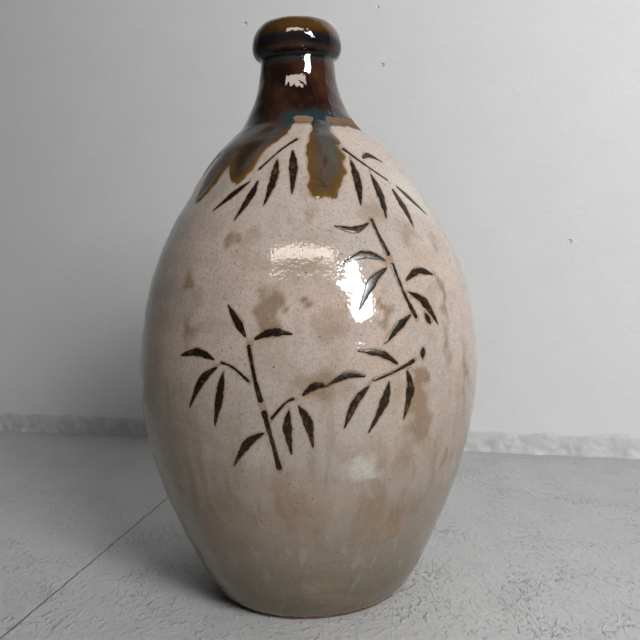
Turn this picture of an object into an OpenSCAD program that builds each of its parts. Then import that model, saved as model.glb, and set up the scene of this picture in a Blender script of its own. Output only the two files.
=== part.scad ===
// Large stoneware sake bottle: a thrown body in two halves, a neck with a rolled collar,
// an iron glaze poured over the head and shoulder, a pale glaze on the belly and
// sprays of leaves brushed on in slip. It stands on Z = 0 with its axis on Z; -Y is the front.

/* [Body] */
// Height of the neck's top, where the collar sits
neck_top_h = 282; // [260:1:310]
// Diameter of the belly at its widest
belly_d = 180; // [165:1:195]
// Diameter of the base
base_d = 101; // [90:1:110]
// Thickness of the wall
wall = 5.5; // [4.5:0.1:7]
// Thickness of the floor
floor_t = 9; // [7:0.5:12]

/* [Neck and mouth] */
// Diameter of the neck under the collar
neck_d = 37.6; // [37:0.1:40]
// Diameter of the collar at its widest
collar_d = 46.4; // [44:0.1:50]
// Height of the collar
collar_h = 18; // [15:0.5:22]
// Diameter of the mouth inside its glaze
mouth_d = 26; // [22:0.5:27]
// Length of the straight part of the mouth
mouth_l = 30; // [20:1:34]

/* [Glaze and slip] */
// Thickness of the glazes
glaze_t = 0.5; // [0.3:0.05:0.8]
// Height at which the pale glaze starts, above the bare foot
pale_low_h = 3; // [2:0.5:6]
// Height at which the pale glaze stops
pale_top_h = 243; // [238:1:248]
// Height of the lower edge of the poured glaze, between its runs
pour_h = 250; // [248:1:256]
// Thickness of a brushed stroke of slip
slip_t = 0.35; // [0.2:0.05:0.6]

/* [Hidden] */
$fn = 96;

// Heights at which the thrown sections were joined, as parts of neck_top_h
belly_h = 0.41 * neck_top_h;
shoulder_h = 0.865 * neck_top_h;
// Step between the points of a smooth outline
step = 6;
// Steps of a rounded corner
arc_steps = 8;
// Rounding of the foot's edge
foot_r = 1.5;
// Radius of the seam between the neck's tube and the collar around it
collar_seat_r = mouth_d / 2 + 3;
// Radius at the crest of the lip
lip_r = mouth_d / 2 + 2;
lip_h = neck_top_h + collar_h;
// Height of the collar's widest part above its underside
collar_widest = 0.34 * collar_h;
// Thickness of the poured glaze inside the mouth
mouth_glaze_t = 0.4;
mouth_r = mouth_d / 2 + mouth_glaze_t;
mouth_low_h = lip_h - 2 - mouth_l;
// Clearance that a layer keeps from the one it lies on
clear = 0.05;

// ---- The body's outline ----

// Radius at each height, as parts of the belly's radius and of neck_top_h
SHAPE = [
    [0.043, 0.652], [0.106, 0.746], [0.213, 0.883], [0.319, 0.968], [0.411, 1], [0.514, 0.972],
    [0.603, 0.908], [0.691, 0.786], [0.762, 0.638], [0.823, 0.498], [0.865, 0.358],
    [0.908, 0.272], [0.95, 0.227]
];
OUTLINE = concat(
    [[0, base_d / 2]],
    [for (p = SHAPE) [p[0] * neck_top_h, p[1] * belly_d / 2]],
    [[neck_top_h, neck_d / 2]]
);
LAST = len(OUTLINE) - 1;

// Slope of the straight line from one outline point to the next
function chord(i) = (OUTLINE[i + 1][1] - OUTLINE[i][1]) / (OUTLINE[i + 1][0] - OUTLINE[i][0]);

// Slope of the smooth outline at one of its points, from the chords on both sides
function knot_slope(i) =
    i == 0 ? chord(0) :
    i == LAST ? chord(LAST - 1) :
    let (below = OUTLINE[i][0] - OUTLINE[i - 1][0], above = OUTLINE[i + 1][0] - OUTLINE[i][0])
    (above * chord(i - 1) + below * chord(i)) / (above + below);

// Index of the outline's stretch that holds the height z
function stretch(z, i = 0) = i >= LAST - 1 || z < OUTLINE[i + 1][0] ? i : stretch(z, i + 1);

// Radius of the clay at the height z: a cubic curve between the outline's points
function body_r(z) =
    let (
        i = stretch(z),
        h = OUTLINE[i + 1][0] - OUTLINE[i][0],
        t = (z - OUTLINE[i][0]) / h
    )
    (1 + 2 * t) * (1 - t) ^ 2 * OUTLINE[i][1]
    + t * (1 - t) ^ 2 * h * knot_slope(i)
    + t ^ 2 * (3 - 2 * t) * OUTLINE[i + 1][1]
    + t ^ 2 * (t - 1) * h * knot_slope(i + 1);

// Slope of the radius at the height z
function body_slope(z) = (body_r(z + 0.1) - body_r(z - 0.1)) / 0.2;

// Radius inside the wall at the height z
function inner_r(z) = body_r(z) - wall * sqrt(1 + body_slope(z) ^ 2);

// Heights from low to high, about one step apart, with both ends
function heights(low, high, gap = step) =
    let (count = max(1, ceil((high - low) / gap)))
    [for (i = [0 : count]) low + (high - low) * i / count];

// The clay's outline between two heights, as [radius, height]
function outside(low, high) = [for (z = heights(low, high)) [body_r(z), z]];

// The points of a list in the other order
function reversed(points) = [for (i = [len(points) - 1 : -1 : 0]) points[i]];

// Point at t, from 0 to 1, on a curve that leaves a and reaches c along the lines to b
function bend(a, b, c, t) = (1 - t) ^ 2 * a + 2 * t * (1 - t) * b + t ^ 2 * c;
function bend_points(a, b, c) = [for (i = [0 : arc_steps]) bend(a, b, c, i / arc_steps)];

// A path moved sideways by t, to its left for a positive t
function shifted(path, t) = [
    for (i = [0 : len(path) - 1])
    let (
        along = path[min(i + 1, len(path) - 1)] - path[max(i - 1, 0)],
        side = [-along[1], along[0]] / norm(along)
    )
    path[i] + t * side
];

// A coat of the thickness t on the left of a path, turned into a solid
module coat(path, t) {
    rotate_extrude()
        polygon(concat(path, reversed(shifted(path, t))));
}

// ---- Inside of the bottle, from the centre of the floor upwards ----

// Radius and height at which the floor turns up into the wall
FLOOR_EDGE = [0.7 * base_d / 2, floor_t];
WALL_START = [inner_r(2.8 * floor_t), 2.8 * floor_t];
FLOOR_CORNER = [inner_r(floor_t), floor_t];
FLOOR_LINE = concat([[0, floor_t]], bend_points(FLOOR_EDGE, FLOOR_CORNER, WALL_START));
LOWER_INSIDE = concat(FLOOR_LINE, [for (z = heights(WALL_START[1] + step, belly_h)) [inner_r(z), z]]);
UPPER_INSIDE = [for (z = heights(belly_h, shoulder_h)) [inner_r(z), z]];
// The shoulder turns up into the straight mouth
NECK_START = [inner_r(shoulder_h), shoulder_h];
NECK_INSIDE = bend_points(
    NECK_START,
    [mouth_r, shoulder_h + 0.55 * (mouth_low_h - shoulder_h)],
    [mouth_r, mouth_low_h]
);

// ---- Outside of the collar and lip ----

// Point on a rounded quarter with the half-axes a and b, at t from 0 to 1
function round_point(centre, a, b, t) = centre + [a * cos(90 * t), b * sin(90 * t)];

COLLAR_UNDER = [
    for (i = [0 : arc_steps])
    round_point(
        [neck_d / 2, neck_top_h + collar_widest],
        collar_d / 2 - neck_d / 2, -collar_widest, 1 - i / arc_steps
    )
];
COLLAR_OVER = [
    for (i = [1 : arc_steps])
    round_point(
        [lip_r, neck_top_h + collar_widest],
        collar_d / 2 - lip_r, collar_h - collar_widest, i / arc_steps
    )
];
LIP_INSIDE = [
    for (i = [1 : arc_steps])
    round_point([lip_r, lip_h - 2], mouth_r - lip_r, 2, 1 - i / arc_steps)
];

// Height of the collar's upper curve at the radius r
function lip_top(r) =
    neck_top_h + collar_widest
    + (collar_h - collar_widest) * sqrt(1 - ((r - lip_r) / (collar_d / 2 - lip_r)) ^ 2);

// ---- Clay ----

module lower_body() {
    color("rosybrown")
        rotate_extrude()
            polygon(concat(
                [[0, 0], [body_r(0) - foot_r, 0]],
                outside(foot_r, belly_h),
                reversed(LOWER_INSIDE)
            ));
}

module upper_body() {
    color("rosybrown")
        rotate_extrude()
            polygon(concat(outside(belly_h, shoulder_h), reversed(UPPER_INSIDE)));
}

// The neck's tube runs up inside the collar to the lip
module neck() {
    color("rosybrown")
        rotate_extrude()
            polygon(concat(
                outside(shoulder_h, neck_top_h),
                [[collar_seat_r, neck_top_h], [collar_seat_r, lip_top(collar_seat_r)]],
                [[lip_r, lip_h]],
                LIP_INSIDE,
                reversed(NECK_INSIDE)
            ));
}

// A roll of clay laid round the neck's tube
module collar() {
    outer_curve = concat(COLLAR_UNDER, COLLAR_OVER);
    color("rosybrown")
        rotate_extrude()
            polygon(concat(
                [[collar_seat_r, neck_top_h]],
                [for (p = outer_curve) if (p[0] > collar_seat_r + 0.2) p],
                [[collar_seat_r, lip_top(collar_seat_r)]]
            ));
}

// ---- Glaze ----

// A thin coat swilled round the inside, up to the straight mouth
module inner_glaze() {
    lining = concat(
        LOWER_INSIDE,
        [for (i = [1 : len(UPPER_INSIDE) - 1]) UPPER_INSIDE[i]],
        [for (i = [1 : len(NECK_INSIDE) - 1]) NECK_INSIDE[i]]
    );
    coat_side = shifted(lining, mouth_glaze_t);
    color("dimgray")
        rotate_extrude()
            polygon(concat(
                lining,
                [[mouth_r - mouth_glaze_t, mouth_low_h]],
                reversed([for (p = coat_side) if (p[0] > 0 && p[1] < mouth_low_h) p]),
                [[0, floor_t + mouth_glaze_t]]
            ));
}

module pale_glaze() {
    color("tan")
        coat(outside(pale_low_h, pale_top_h), -glaze_t);
}

// Poured over the head: down the neck, over the collar and into the mouth
module neck_glaze() {
    head = concat(
        [for (z = heights(pour_h, neck_top_h, 3)) [body_r(z), z]],
        [for (i = [1 : arc_steps]) COLLAR_UNDER[i]],
        COLLAR_OVER,
        LIP_INSIDE
    );
    outer = [for (p = shifted(head, -glaze_t)) [max(p[0], mouth_d / 2), p[1]]];
    color("saddlebrown")
        rotate_extrude()
            polygon(concat(
                head,
                [[mouth_r, mouth_low_h], [mouth_r - mouth_glaze_t, mouth_low_h]],
                [[mouth_r - mouth_glaze_t, lip_h - 2]],
                reversed([for (i = [0 : len(outer) - 2]) outer[i]])
            ));
}

// ---- Solids that follow the body's surface ----

// Point on the surface at an angle from the front, a height and a lift off the clay
function on_surface(angle, z, lift) =
    let (
        slope = body_slope(z),
        out = [1, -slope] / sqrt(1 + slope ^ 2),
        r = body_r(z) + lift * out[0]
    )
    [r * sin(angle), -r * cos(angle), z + lift * out[1]];

// Closed solid through rings of points; joined end to end, or closed by its two end rings
module skin(rings, joined = false) {
    count = len(rings);
    sides = len(rings[0]);
    strips = joined ? count : count - 1;
    walls = [
        for (i = [0 : strips - 1])
        for (j = [0 : sides - 1])
        let (
            a = i * sides,
            b = ((i + 1) % count) * sides,
            k = (j + 1) % sides
        )
        each [[a + j, b + j, b + k], [a + j, b + k, a + k]]
    ];
    caps = joined ? [] : [
        [for (j = [0 : sides - 1]) j],
        [for (j = [sides - 1 : -1 : 0]) (count - 1) * sides + j]
    ];
    polyhedron(points = [for (ring = rings) each ring], faces = concat(walls, caps));
}

// ---- Runs of poured glaze on the shoulder ----

// Each run: [angle of its middle, half its width in degrees, height of its tip]
RUNS = [
    [-54, 14, 204], [-31, 14, 214], [-20, 12, 234], [9.5, 10, 202], [104, 10, 222],
    [130, 15, 232], [152, 11, 206], [186, 15, 224], [214, 12, 212], [240, 15, 232], [272, 15, 212]
];
// Angle between two stations round the shoulder
RUN_GAP = 4;
run_steps = 6;
run_t = 0.6;

// Angle between two directions, without its sign
function apart(a, b) = abs(((a - b) % 360 + 540) % 360 - 180);

// Height that the glaze reaches down to at an angle: the lowest of the runs there
function edge_h(angle) = min([
    for (run = RUNS)
    let (across = apart(angle, run[0]) / run[1])
    across >= 1 ? pour_h - 2.5 : pour_h - 2.5 - (pour_h - 2.5 - run[2]) * sqrt(1 - across ^ 2)
]);

// Lift of the run's underside: on bare clay above the pale glaze, then over its edge
function run_lift(z) = clear + glaze_t * min(1, max(0, (pale_top_h + 3 - z) / 2));

module glaze_runs() {
    rings = [
        for (angle = [0 : RUN_GAP : 360 - RUN_GAP])
        let (zs = heights(edge_h(angle), pour_h - clear, (pour_h - edge_h(angle)) / run_steps))
        concat(
            [for (z = zs) on_surface(angle, z, run_lift(z))],
            [for (z = reversed(zs)) on_surface(angle, z, run_lift(z) + run_t - 0.4 * (z == zs[0] ? 1 : 0))]
        )
    ];
    color("saddlebrown")
        skin(rings, joined = true);
}

// ---- Brushed leaves ----

// A stroke's path: a smooth curve through its points of [angle, height, width]
function path_point(p, i, t) =
    let (
        a = p[max(i - 1, 0)],
        b = p[i],
        c = p[i + 1],
        d = p[min(i + 2, len(p) - 1)]
    )
    0.5 * (2 * b + (c - a) * t + (2 * a - 5 * b + 4 * c - d) * t ^ 2
    + (3 * b - a - 3 * c + d) * t ^ 3);

stroke_steps = 4;
// Across a stroke: [part of its half width, lift above its underside]
STROKE_SECTION = [[-1, 0], [-0.55, slip_t], [0.55, slip_t], [1, 0]];

module stroke(points) {
    path = concat(
        [
            for (i = [0 : len(points) - 2])
            for (k = [0 : stroke_steps - 1])
            path_point(points, i, k / stroke_steps)
        ],
        [points[len(points) - 1]]
    );
    rings = [
        for (i = [0 : len(path) - 1])
        let (
            here = path[i],
            next = path[min(i + 1, len(path) - 1)],
            last = path[max(i - 1, 0)],
            mm_per_degree = body_r(here[1]) * PI / 180,
            along = [(next[0] - last[0]) * mm_per_degree, next[1] - last[1]],
            side = [-along[1], along[0]] / norm(along) * here[2] / 2
        )
        [
            for (s = STROKE_SECTION)
            on_surface(
                here[0] + s[0] * side[0] / mm_per_degree,
                here[1] + s[0] * side[1],
                glaze_t + clear + s[1]
            )
        ]
    ];
    skin(rings);
}

module strokes(list) {
    color([0.16, 0.11, 0.07])
        for (points = list)
            stroke(points);
}

module upper_left_leaves() {
    strokes([
        [[-3, 234, 1.8], [-13, 228, 1.3], [-23, 219, 1.4]],
        [[-6, 228, 0.8], [-5.5, 219, 4.0], [-6, 206, 0.6]],
        [[-14, 223.5, 0.8], [-14.5, 214, 4.0], [-17, 201, 0.6]],
        [[-22, 213.5, 0.8], [-24, 205, 3.8], [-28, 195, 0.6]],
        [[-26, 213.5, 0.8], [-33, 207.5, 3.4], [-40.5, 200, 0.6]]
    ]);
}

module upper_right_leaves() {
    strokes([
        [[23, 229, 1.8], [32, 221, 1.3], [42, 213, 1.4]],
        [[25, 223, 0.8], [24, 213, 4.0], [21, 200, 0.6]],
        [[33, 216, 0.8], [32.5, 206, 4.0], [30, 194, 0.6]],
        [[41.5, 209, 0.8], [42, 201, 3.8], [42, 190, 0.6]],
        [[45.5, 210.5, 0.8], [50, 205, 3.4], [56, 197, 0.6]],
        [[33, 224, 0.8], [39, 226, 3.2], [47, 223, 0.6]]
    ]);
}

module right_branch() {
    strokes([
        [[33, 149, 2.4], [29, 162, 1.7], [27, 174, 2.4]],
        [[26.5, 177, 2.4], [24.5, 187, 1.6], [23.5, 194, 2.0]],
        [[25, 175, 0.8], [18, 178, 3.8], [10, 174, 0.6]],
        [[25, 172, 0.8], [19, 166, 4.0], [14, 154, 0.6]],
        [[31, 166, 0.8], [37, 170, 3.8], [44, 168, 0.6]],
        [[31, 161, 0.8], [37, 156, 4.0], [42, 145, 0.6]],
        [[22, 192, 0.8], [16, 189, 3.2], [9, 191, 0.6]],
        [[31, 151, 0.8], [26, 146, 3.8], [21, 139, 0.6]]
    ]);
}

module lower_right_leaves() {
    strokes([
        [[31, 131, 2.0], [24, 127, 1.4], [17, 124, 1.4]],
        [[28, 127, 0.8], [29, 118, 4.0], [27, 105, 0.6]],
        [[22, 123, 0.8], [20.5, 114, 4.2], [16, 101, 0.6]],
        [[16, 122, 0.8], [12, 115, 3.8], [9, 104, 0.6]],
        [[15, 126, 0.8], [10, 127, 3.4], [4, 123, 0.6]],
        [[25, 130, 0.8], [20, 135, 3.4], [13, 137, 0.6]],
        [[36.5, 151, 1.4], [37.5, 148.5, 3.4], [38.5, 146, 1.2]],
        [[34.5, 136, 1.4], [34, 133.5, 3.4], [34, 131, 1.2]]
    ]);
}

module left_branch() {
    strokes([
        [[-9, 86, 2.6], [-11, 100, 1.8], [-13, 113, 2.6]],
        [[-13.6, 116, 2.6], [-16, 130, 1.8], [-17.5, 141, 2.4]],
        [[-17, 125, 1.4], [-22, 131, 1.2], [-26, 133, 1.2]],
        [[-11, 109, 1.4], [-7, 116, 1.2], [-4.5, 118, 1.2]],
        [[-27, 131, 0.8], [-32, 125, 4.0], [-37, 112, 0.6]],
        [[-25, 129, 0.8], [-26, 119, 4.2], [-28, 105, 0.6]],
        [[-28, 134, 0.8], [-34, 137, 3.8], [-41, 135, 0.6]],
        [[-18.5, 144, 0.8], [-21, 150, 3.8], [-25, 158, 0.6]],
        [[-16, 143, 0.8], [-11, 146, 3.8], [-5, 145, 0.6]],
        [[-3.5, 115, 0.8], [-1, 108, 4.0], [0.5, 96, 0.6]],
        [[-6, 113, 0.8], [-6.5, 105, 3.8], [-5.5, 93, 0.6]],
        [[-2.5, 119, 0.8], [1, 123, 3.4], [5, 123, 0.6]],
        [[-13, 103, 0.8], [-18, 98, 4.0], [-23, 87, 0.6]]
    ]);
}

lower_body();
upper_body();
neck();
collar();
inner_glaze();
pale_glaze();
neck_glaze();
glaze_runs();
upper_left_leaves();
upper_right_leaves();
right_branch();
lower_right_leaves();
left_branch();
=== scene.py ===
# %% [markdown]
# # A hand-thrown stoneware sake bottle
#
# The CAD model is the fixed frame: its clay sections, glaze coats and brushed leaves say where everything
# is and how large it is. This lesson builds the looks around it. Every visible piece is a surface worked
# out with numpy, in millimetres, and written to a mesh in metres.

# %% Load the frame
import math

import bpy
import numpy as np
from mathutils import Matrix, Vector


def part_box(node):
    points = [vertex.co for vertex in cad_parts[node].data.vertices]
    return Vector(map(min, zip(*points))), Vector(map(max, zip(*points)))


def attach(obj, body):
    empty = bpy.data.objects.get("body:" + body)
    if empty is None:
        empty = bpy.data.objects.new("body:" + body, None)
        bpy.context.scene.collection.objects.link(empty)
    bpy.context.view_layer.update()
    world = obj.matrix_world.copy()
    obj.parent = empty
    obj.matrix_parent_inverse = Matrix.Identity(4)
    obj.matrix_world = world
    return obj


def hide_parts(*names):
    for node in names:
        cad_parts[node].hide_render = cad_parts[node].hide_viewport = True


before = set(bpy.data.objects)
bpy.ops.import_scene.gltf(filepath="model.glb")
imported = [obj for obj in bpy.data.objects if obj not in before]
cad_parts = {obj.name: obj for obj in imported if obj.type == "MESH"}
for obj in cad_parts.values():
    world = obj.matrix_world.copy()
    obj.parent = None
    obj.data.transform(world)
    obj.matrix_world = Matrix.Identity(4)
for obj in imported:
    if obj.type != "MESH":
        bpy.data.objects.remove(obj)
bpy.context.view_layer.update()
print("CAD nodes:", ", ".join(sorted(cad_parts)))

# %% [markdown]
# ## Measures of the pot
#
# A turned pot is known by its outline. The belly's radius, the height of the neck and the height of the
# collar are read from the frame's boxes; the few other sizes are a potter's own.

# %% Measures, in millimetres
MM = 0.001


def reach(node, side, axis):
    """One number of a node's box, in millimetres: side 0 is the lowest corner and 1 the highest."""
    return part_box(node)[side][axis] / MM


belly_r = reach("upper_body", 1, 0)
neck_top = reach("collar", 0, 2)
lip_h = reach("neck", 1, 2)
collar_r = reach("collar", 1, 0)
mouth_low = reach("inner_glaze", 1, 2)
shoulder_h = reach("upper_body", 1, 2)
belly_h = reach("lower_body", 1, 2)
base_r = 50.5
foot_round = 1.5
neck_r = 18.8
mouth_r = 13.0
lip_r = 15.0
wall = 5.5
floor_t = 9.0
seat_r = 16.0
pale_t = 0.5
lining_t = 0.4
print(f"belly {2 * belly_r:.1f} mm, lip at {lip_h:.1f} mm, collar {2 * collar_r:.1f} mm")

# %% [markdown]
# ## The outline
#
# The outline of a thrown pot is one smooth curve. It could be a subdivision surface round a few rings,
# but then its radius at a height would have to be measured. A cubic curve between a few heights gives
# the radius anywhere, and the glaze and the brush strokes need it everywhere.

# %% The radius at a height
SHAPE = [
    [0.043, 0.652], [0.106, 0.746], [0.213, 0.883], [0.319, 0.968], [0.411, 1], [0.514, 0.972],
    [0.603, 0.908], [0.691, 0.786], [0.762, 0.638], [0.823, 0.498], [0.865, 0.358],
    [0.908, 0.272], [0.95, 0.227],
]
knot_z = np.array([0.0] + [p[0] * neck_top for p in SHAPE] + [neck_top])
knot_r = np.array([base_r] + [p[1] * belly_r for p in SHAPE] + [neck_r])
chord = np.diff(knot_r) / np.diff(knot_z)
gap = np.diff(knot_z)
inner_slope = (gap[1:] * chord[:-1] + gap[:-1] * chord[1:]) / (gap[1:] + gap[:-1])
knot_slope = np.concatenate([chord[:1], inner_slope, chord[-1:]])


def clay_radius(z):
    """Radius of the clay at a height: a cubic between two knots that has the knots' radii and slopes."""
    i = np.clip(np.searchsorted(knot_z, z, side="right") - 1, 0, len(gap) - 1)
    t = (z - knot_z[i]) / gap[i]
    start = (1 + 2 * t) * (1 - t) ** 2 * knot_r[i] + t * (1 - t) ** 2 * gap[i] * knot_slope[i]
    end = t**2 * (3 - 2 * t) * knot_r[i + 1] + t**2 * (t - 1) * gap[i] * knot_slope[i + 1]
    return start + end


def clay_slope(z):
    """Change of the radius with the height, from the radii just above and below."""
    return (clay_radius(z + 0.1) - clay_radius(z - 0.1)) / 0.2


def inner_radius(z):
    """Radius inside the wall: the wall's thickness is laid off square to the slope."""
    return clay_radius(z) - wall * np.sqrt(1 + clay_slope(z) ** 2)


print("radius at the shoulder:", round(float(clay_radius(shoulder_h)), 1), "mm")

# %% [markdown]
# ## Paths in the plane of the axis
#
# Every turned piece is a path of (radius, height) carried round the axis. These helpers make the paths:
# a stretch of the outline, a rounded quarter for the collar and lip, a bend where the floor turns up.

# %% Path helpers


def outline(low, high, spacing):
    """The clay's outside between two heights, as (radius, height) rows about one spacing apart."""
    z = np.linspace(low, high, max(2, int(round(abs(high - low) / spacing)) + 1))
    return np.stack([clay_radius(z), z], axis=1)


def inside(low, high, spacing):
    """The inside of the wall between two heights, as (radius, height) rows."""
    z = np.linspace(low, high, max(2, int(round(abs(high - low) / spacing)) + 1))
    return np.stack([inner_radius(z), z], axis=1)


def quarter(centre, across, up, start, stop, count):
    """Part of an ellipse: centre plus (across times cosine, up times sine) from start to stop in degrees."""
    t = np.radians(np.linspace(start, stop, count))
    return np.stack([centre[0] + across * np.cos(t), centre[1] + up * np.sin(t)], axis=1)


def bend(a, b, c, count):
    """A curve from a to c that leaves and arrives along the lines to b: a parabola."""
    t = np.linspace(0, 1, count)[:, None]
    return (1 - t) ** 2 * np.array(a) + 2 * t * (1 - t) * np.array(b) + t**2 * np.array(c)


def evenly(path, spacing):
    """The same path with its points one spacing apart, measured along it."""
    steps = np.hypot(*np.diff(path, axis=0).T)
    along = np.concatenate([[0], np.cumsum(steps)])
    at = np.linspace(0, along[-1], int(along[-1] / spacing) + 1)
    return np.stack([np.interp(at, along, path[:, 0]), np.interp(at, along, path[:, 1])], axis=1)


def outward(path):
    """Unit vectors square to a path, on its right-hand side: away from the axis where the path goes up."""
    along = np.gradient(path, axis=0)
    along = along / np.hypot(along[:, 0], along[:, 1])[:, None]
    return np.stack([along[:, 1], -along[:, 0]], axis=1)


widest = neck_top + 0.34 * (lip_h - neck_top)
collar_under = quarter((neck_r, widest), collar_r - neck_r, widest - neck_top, -90, 0, 16)
collar_over = quarter((lip_r, widest), collar_r - lip_r, lip_h - widest, 0, 90, 28)
lip_inside = quarter((lip_r, lip_h - 2), mouth_r + lining_t - lip_r, 2, 90, 0, 8)
print("the collar is widest at", round(widest, 1), "mm")

# %% [markdown]
# ## What the hand adds
#
# A perfect body of revolution looks machined. On the wheel the centre drifts a little as the pot rises,
# the rim ends up slightly out of round and the fingers leave shallow rings. All points go through one
# function, so that clay, glaze and brush strokes keep touching.

# %% Hand-thrown unevenness


def waves(points, size, seed, count=24):
    """Smooth random bumps in space: the mean of cosines of one size with random directions and phases."""
    draw = np.random.default_rng(seed)
    way = draw.normal(size=(count, 3))
    way = way / np.linalg.norm(way, axis=1)[:, None] * 2 * np.pi / size
    phase = draw.uniform(0, 2 * np.pi, count)
    total = np.zeros(points.shape[:-1])
    for direction, shift in zip(way, phase):
        total = total + np.cos(points @ direction + shift)
    return total / math.sqrt(count / 2)


def drift(z):
    """How far the centre stands to the right at a height: a sine of the squared height, 0 at the ends."""
    part = np.clip(z / 255, 0, 1)
    return 2.8 * np.sin(np.pi * part**2)


def thrown(points):
    """Moves perfect points to where the hand left them: swollen by slow waves and rings, then drifted."""
    x, y, z = points[..., 0], points[..., 1], points[..., 2]
    angle = np.arctan2(x, -y)
    fade = np.clip(z / 12, 0, 1) * np.clip((lip_h - z) / 30, 0.25, 1)
    oval = 0.35 * np.cos(2 * angle + z / 90) + 0.2 * np.cos(3 * angle - z / 60 + 1)
    rings = 0.10 * np.sin(z / 2.6 + angle + 1.5 * np.sin(z / 23)) * np.clip((250 - z) / 20, 0, 1)
    swell = 1 + fade * (oval + rings) / np.maximum(np.hypot(x, y), 12)
    return np.stack([x * swell + drift(z), y * swell, z], axis=-1)


print("largest drift:", round(float(drift(np.linspace(0, 255, 200)).max()), 1), "mm")

# %% [markdown]
# ## From arrays to meshes
#
# A turned piece is a grid: one row for each point of the path and one column for each angle. Its faces
# follow from the row and column numbers alone, so one function can serve every piece.

# %% Mesh helpers


def around(columns):
    """Angles round the pot from the front, in radians, growing to the right."""
    return np.linspace(0, 2 * np.pi, columns, endpoint=False)


def turned(path, columns):
    """Grid of points: each (radius, height) of the path carried round the axis."""
    angle = around(columns)[None, :]
    r = path[:, 0][:, None]
    z = np.broadcast_to(path[:, 1][:, None], (len(path), columns))
    return np.stack([r * np.sin(angle), -r * np.cos(angle), z], axis=-1)


def grid_faces(rows, columns, loop_rows=False, loop_columns=True):
    """Quads of a grid whose points are numbered row by row; loops close it in either direction."""
    i = np.arange(rows if loop_rows else rows - 1)[:, None]
    j = np.arange(columns if loop_columns else columns - 1)[None, :]
    up = (i + 1) % rows
    right = (j + 1) % columns
    quads = [i * columns + j, i * columns + right, up * columns + right, up * columns + j]
    return np.stack(np.broadcast_arrays(*quads), axis=-1).reshape(-1, 4)


def write_piece(name, points, faces, body="root", **values):
    """Makes an object from points in millimetres and faces, with one float attribute per named value."""
    mesh = bpy.data.meshes.new(name)
    rows = np.asarray(points, float).reshape(-1, 3) * MM
    mesh.from_pydata(rows.tolist(), [], [list(map(int, f)) for f in faces])
    for key, value in values.items():
        layer = mesh.attributes.new(key, "FLOAT", "POINT")
        layer.data.foreach_set("value", np.ascontiguousarray(value, dtype=np.float32).ravel())
    mesh.shade_smooth()
    piece = bpy.data.objects.new(name, mesh)
    bpy.context.scene.collection.objects.link(piece)
    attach(piece, body)
    print(f"{name}: {len(rows)} points, {len(mesh.polygons)} faces")
    return piece


def lathe(name, path, columns):
    """A closed piece from a path that starts and ends on the axis, or that is a closed loop off it."""
    on_axis = path[0, 0] < 1e-6
    if not on_axis:
        points = thrown(turned(path, columns))
        return write_piece(name, points, grid_faces(len(path), columns, loop_rows=True))
    rings = thrown(turned(path[1:-1], columns)).reshape(-1, 3)
    poles = thrown(np.array([[0, 0, path[0, 1]], [0, 0, path[-1, 1]]]))
    first = len(rings)
    j = np.arange(columns)
    right = (j + 1) % columns
    last_row = (len(path) - 3) * columns
    bottom = np.stack([np.full(columns, first), right, j], axis=1)
    top = np.stack([last_row + j, last_row + right, np.full(columns, first + 1)], axis=1)
    faces = [*grid_faces(len(path) - 2, columns), *bottom, *top]
    return write_piece(name, np.concatenate([rings, poles]), faces)


# %% [markdown]
# ## The clay
#
# A tall bottle is thrown in two halves, joined at the belly, and gets its neck and collar last. Each section
# is a closed lathe piece here, as in the CAD model. One piece would look the same from outside, but a ring
# of clay that was thrown on its own is then also a ring of its own in the model.
# The clay shows at the foot, under the base and in the gaps between the two glazes.

# %% The four clay sections
CLAY_COLUMNS = 240
floor_edge = (0.7 * base_r, floor_t)
wall_start = (float(inner_radius(2.8 * floor_t)), 2.8 * floor_t)
floor_corner = (float(inner_radius(floor_t)), floor_t)
floor_turn = bend(floor_edge, floor_corner, wall_start, 9)
lower_inside = np.concatenate([floor_turn, inside(wall_start[1] + 4, belly_h, 5)])
upper_inside = inside(belly_h, shoulder_h, 4)
neck_start = (float(inner_radius(shoulder_h)), shoulder_h)
neck_corner = (mouth_r + lining_t, shoulder_h + 0.55 * (mouth_low - shoulder_h))
neck_inside = bend(neck_start, neck_corner, (mouth_r + lining_t, mouth_low), 12)
foot_curve = quarter((base_r - foot_round, foot_round), foot_round, foot_round, -90, 0, 6)

# The underside is a hair hollow inside its rim, so the bottle stands on a ring and doesn't rock
under_r = np.linspace(0, base_r - foot_round - 1, 40)
under_z = 0.25 * np.clip((base_r - 6 - under_r) / 6, 0, 1)
underside = np.stack([under_r, under_z], axis=1)

lower_path = np.concatenate([
    underside, foot_curve, outline(foot_round + 2, belly_h, 2.5), lower_inside[::-1], [[0, floor_t]],
])
lower_body = lathe("thrown_lower_half", lower_path, CLAY_COLUMNS)
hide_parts("lower_body")

upper_path = np.concatenate([outline(belly_h, shoulder_h, 2.5), upper_inside[::-1]])
upper_body = lathe("thrown_upper_half", upper_path, CLAY_COLUMNS)
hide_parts("upper_body")

seat_top = widest + (lip_h - widest) * math.sqrt(1 - ((seat_r - lip_r) / (collar_r - lip_r)) ** 2)
neck_path = np.concatenate([
    outline(shoulder_h, neck_top, 1.5), [[seat_r, neck_top], [seat_r, seat_top]],
    lip_inside, neck_inside[::-1],
])
neck = lathe("thrown_neck", neck_path, CLAY_COLUMNS)
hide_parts("neck")

collar_path = np.concatenate([
    [[seat_r, neck_top]], collar_under, collar_over[1:][collar_over[1:, 0] > seat_r], [[seat_r, seat_top]],
])
collar = lathe("rolled_collar", collar_path, CLAY_COLUMNS)
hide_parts("collar")

# %% [markdown]
# ## The lining
#
# Glaze is poured in, swilled round and poured out, so the inside has a thin even coat. It is the clay's
# inner path and the same path moved inwards, closed into one thin shell.

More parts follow.
